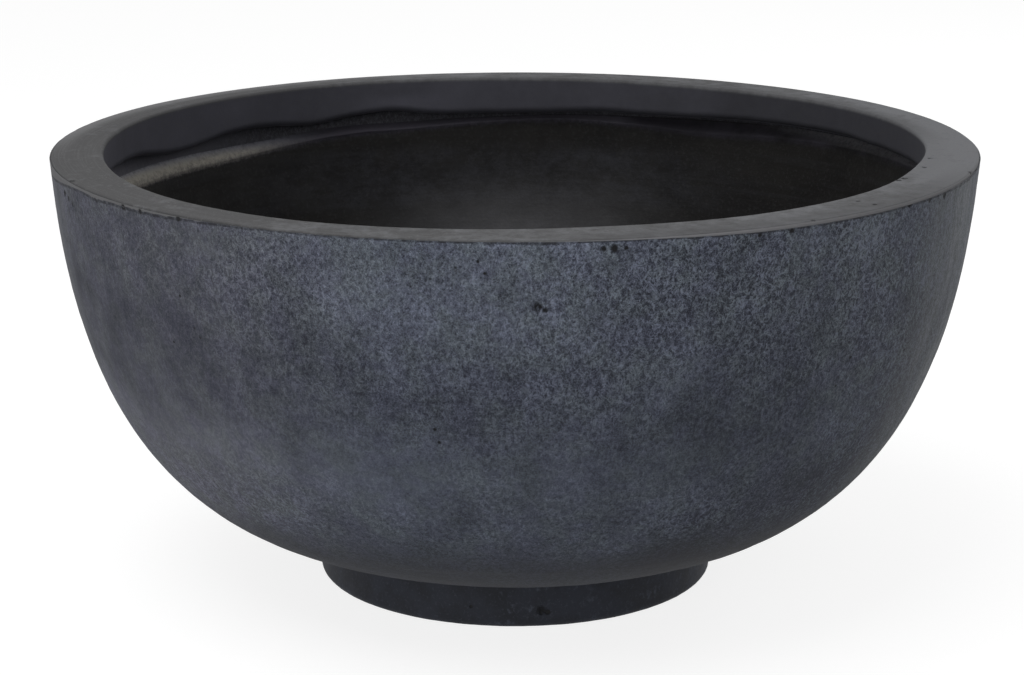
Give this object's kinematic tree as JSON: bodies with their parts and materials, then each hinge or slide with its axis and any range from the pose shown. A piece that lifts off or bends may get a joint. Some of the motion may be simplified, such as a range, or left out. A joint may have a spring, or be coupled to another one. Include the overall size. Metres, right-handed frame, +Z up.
{
  "type": "bowl planter",
  "caption": "Wide round stone-look bowl planter with a flat rim, an inner band, a short foot ring, a fibre-lined inside and a drain hole closed by a lift-out rubber plug.",
  "frame": {"origin": "centre of the foot ring's underside, on the ground and on the bowl's axis", "axes": "+Z up along the bowl's axis; the bowl is round, and its pictured front faces -Y with +X to the right"},
  "size_m": [0.5999, 0.6, 0.288],
  "materials": {
    "shell": "matt, finely stippled and pitted, blue-grey charcoal with paler mottling",
    "lining": "matt brown-black resin over glass fibre, with faint brush streaks",
    "rim": "smooth trowelled warm grey with fine specks",
    "foot": "matt dark charcoal with a few pits",
    "plug": "matt black moulded rubber"
  },
  "bodies": {
    "planter": {"bowl_shell": "shell", "fibre_lining": "lining", "rim_ring": "rim", "foot_ring": "foot"},
    "plug": {"drain_plug": "plug"}
  },
  "joints": [
    {"name": "plug_lift", "type": "slide", "parent": "planter", "child": "plug", "axis": [0, 0, 1], "range_m": [0, 0.3]}
  ]
}
